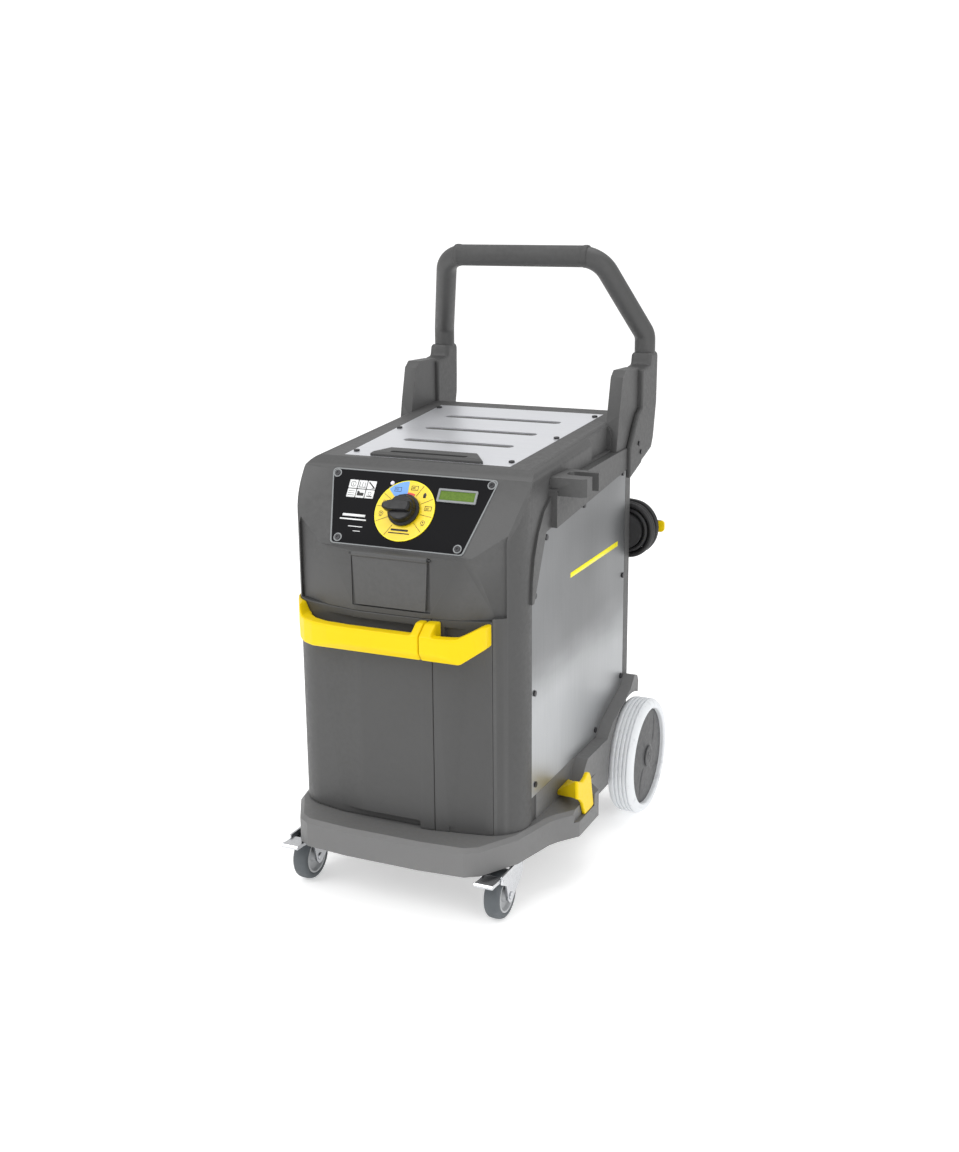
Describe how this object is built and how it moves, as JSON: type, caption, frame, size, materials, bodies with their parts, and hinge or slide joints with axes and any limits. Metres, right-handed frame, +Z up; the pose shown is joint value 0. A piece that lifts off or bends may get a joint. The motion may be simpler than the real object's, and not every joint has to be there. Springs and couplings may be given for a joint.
{
  "type": "steam cleaner",
  "caption": "Upright commercial steam cleaner: boxy wheeled cart with two pull-out water tanks, sloped control panel, hose socket flap, push handle, rear wheels and front castors.",
  "frame": {"origin": "centre of the machine's overall box on the floor", "axes": "+Z up, -Y to the front with the instrument panel, +X to the side with the tube holder"},
  "size_m": [0.495, 0.644, 0.965],
  "materials": {
    "body_grey": "fine matte texture",
    "side_steel": "brushed",
    "top_steel": "brushed",
    "screw_dark": "satin black",
    "panel_black": "gloss",
    "dial_yellow": "gloss",
    "knob_black": "satin",
    "display_trim": "satin",
    "display_glass": "clear over green",
    "led_lens": "gloss",
    "steel_pin": "satin",
    "socket_dark": "satin",
    "handle_tube": "satin dark grey",
    "handle_grip": "matte",
    "yellow": "gloss",
    "tyre_light": "matte",
    "hub_grey": "satin",
    "castor_zinc": "bright zinc",
    "castor_grey": "matte",
    "castor_hub": "satin",
    "tank_lid": "satin",
    "boiler_steel": "satin",
    "pump_plastic": "satin",
    "board_green": "satin",
    "cord_black": "matte"
  },
  "bodies": {
    "machine": {"chassis_base": "body_grey", "front_housing": "body_grey", "rear_panel": "body_grey", "carry_grip": "body_grey", "handle_foot_right": "body_grey", "handle_foot_left": "body_grey", "castor_mounts": "body_grey", "side_panel_right": "side_steel", "side_panel_left": "side_steel", "top_cover_plate": "top_steel", "cover_screws": "screw_dark", "panel_screws": "screw_dark", "handle_screws": "screw_dark", "control_panel_plate": "panel_black", "dial_disc": "dial_yellow", "display_frame": "display_trim", "display_window": "display_glass", "status_led": "led_lens", "flap_hinge_pin": "steel_pin", "rear_axle": "steel_pin", "hose_socket": "socket_dark", "push_handle_tube": "handle_tube", "handle_grip_sleeve": "handle_grip", "tube_rest": "yellow", "cable_hooks": "yellow", "boiler_vessel": "boiler_steel", "boiler_heater": "boiler_steel", "water_pump": "pump_plastic", "suction_housing": "pump_plastic", "circuit_board": "board_green", "cable_gland": "cord_black", "mains_cord": "cord_black", "mains_cord_coil": "cord_black", "mains_plug": "cord_black"},
    "wheel_right": {"tyre_right": "tyre_light", "wheel_hub_right": "hub_grey", "hub_cap_right": "hub_grey"},
    "wheel_left": {"tyre_left": "tyre_light", "wheel_hub_left": "hub_grey", "hub_cap_left": "hub_grey"},
    "castor_right": {"castor_fork_right": "castor_zinc", "castor_axle_right": "steel_pin"},
    "castor_left": {"castor_fork_left": "castor_zinc", "castor_axle_left": "steel_pin"},
    "castor_wheel_right": {"castor_tyre_right": "castor_grey", "castor_hub_right": "castor_hub"},
    "castor_wheel_left": {"castor_tyre_left": "castor_grey", "castor_hub_left": "castor_hub"},
    "pedal_right": {"brake_pedal_right": "castor_zinc"},
    "pedal_left": {"brake_pedal_left": "castor_zinc"},
    "waste_tank": {"waste_tank_body": "body_grey", "waste_tank_handle": "yellow", "waste_tank_lid": "tank_lid"},
    "float": {"waste_tank_float": "tank_lid"},
    "fresh_tank": {"fresh_tank_body": "body_grey", "fresh_tank_handle": "yellow", "fresh_tank_lid": "tank_lid"},
    "flap": {"socket_flap": "body_grey"},
    "knob": {"selector_knob": "knob_black"},
    "impeller": {"suction_impeller": "pump_plastic"}
  },
  "joints": [
    {"name": "wheel_spin_right", "type": "hinge", "parent": "machine", "child": "wheel_right", "pos_m": [0.2247, 0.199, 0.1], "axis": [1, 0, 0], "continuous": true},
    {"name": "wheel_spin_left", "type": "hinge", "parent": "machine", "child": "wheel_left", "pos_m": [-0.2247, 0.199, 0.1], "axis": [1, 0, 0], "continuous": true},
    {"name": "castor_swivel_right", "type": "hinge", "parent": "machine", "child": "castor_right", "pos_m": [0.164, -0.229, 0.084], "axis": [0, 0, 1], "continuous": true},
    {"name": "castor_roll_right", "type": "hinge", "parent": "castor_right", "child": "castor_wheel_right", "pos_m": [0.164, -0.258, 0.0375], "axis": [1, 0, 0], "continuous": true},
    {"name": "brake_pedal_right", "type": "hinge", "parent": "castor_right", "child": "pedal_right", "pos_m": [0.164, -0.284, 0.073], "axis": [1, 0, 0], "range_deg": [0, 12]},
    {"name": "castor_swivel_left", "type": "hinge", "parent": "machine", "child": "castor_left", "pos_m": [-0.164, -0.229, 0.084], "axis": [0, 0, 1], "continuous": true},
    {"name": "castor_roll_left", "type": "hinge", "parent": "castor_left", "child": "castor_wheel_left", "pos_m": [-0.164, -0.258, 0.0375], "axis": [1, 0, 0], "continuous": true},
    {"name": "brake_pedal_left", "type": "hinge", "parent": "castor_left", "child": "pedal_left", "pos_m": [-0.164, -0.284, 0.073], "axis": [1, 0, 0], "range_deg": [0, 12]},
    {"name": "waste_tank_pull", "type": "slide", "parent": "machine", "child": "waste_tank", "axis": [0, -1, 0], "range_m": [0, 0.25]},
    {"name": "fresh_tank_pull", "type": "slide", "parent": "waste_tank", "child": "fresh_tank", "axis": [0, -1, 0], "range_m": [0, 0.25]},
    {"name": "float_rise", "type": "slide", "parent": "waste_tank", "child": "float", "axis": [0, 0, 1], "range_m": [0, 0.06]},
    {"name": "socket_flap_lift", "type": "hinge", "parent": "machine", "child": "flap", "pos_m": [0, -0.2755, 0.544], "axis": [-1, 0, 0], "range_deg": [0, 95]},
    {"name": "selector_turn", "type": "hinge", "parent": "machine", "child": "knob", "pos_m": [0, -0.22392, 0.60038], "axis": [0, -0.8275, 0.5615], "range_deg": [-135, 135]},
    {"name": "impeller_spin", "type": "hinge", "parent": "machine", "child": "impeller", "pos_m": [0.088, 0.09, 0.175], "axis": [0, 0, 1], "continuous": true}
  ]
}
